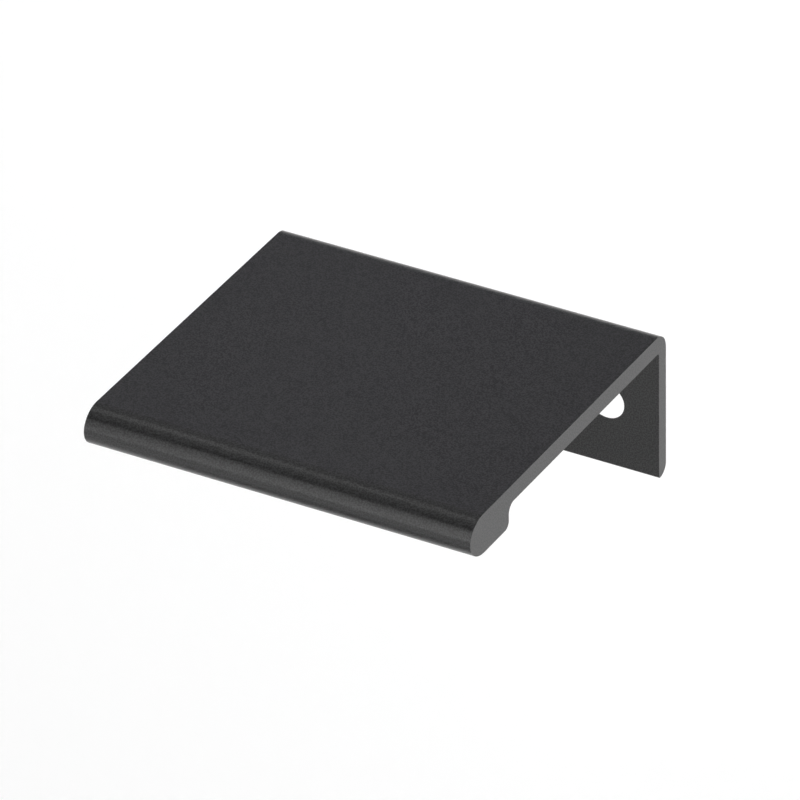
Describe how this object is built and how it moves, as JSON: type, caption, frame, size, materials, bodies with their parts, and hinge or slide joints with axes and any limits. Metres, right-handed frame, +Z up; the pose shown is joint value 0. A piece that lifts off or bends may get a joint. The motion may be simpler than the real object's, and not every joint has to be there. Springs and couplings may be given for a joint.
{
  "type": "furniture handle",
  "caption": "Edge pull for a drawer or door front: a flat plate with a rounded finger lip and a short rear leg with countersunk screw holes.",
  "frame": {"origin": "midway between the two screw holes, on the face of the leg that lies against the back of the drawer or door front", "axes": "+X along the handle's length, -Y towards the nose of the lip and out of the leg's mounting face, +Z up, with the plate on top"},
  "size_m": [0.044, 0.041, 0.0171],
  "materials": {
    "black_anodised": "matt black anodised aluminium with a very fine grain"
  },
  "bodies": {
    "root": {"handle": "black_anodised"}
  },
  "joints": []
}
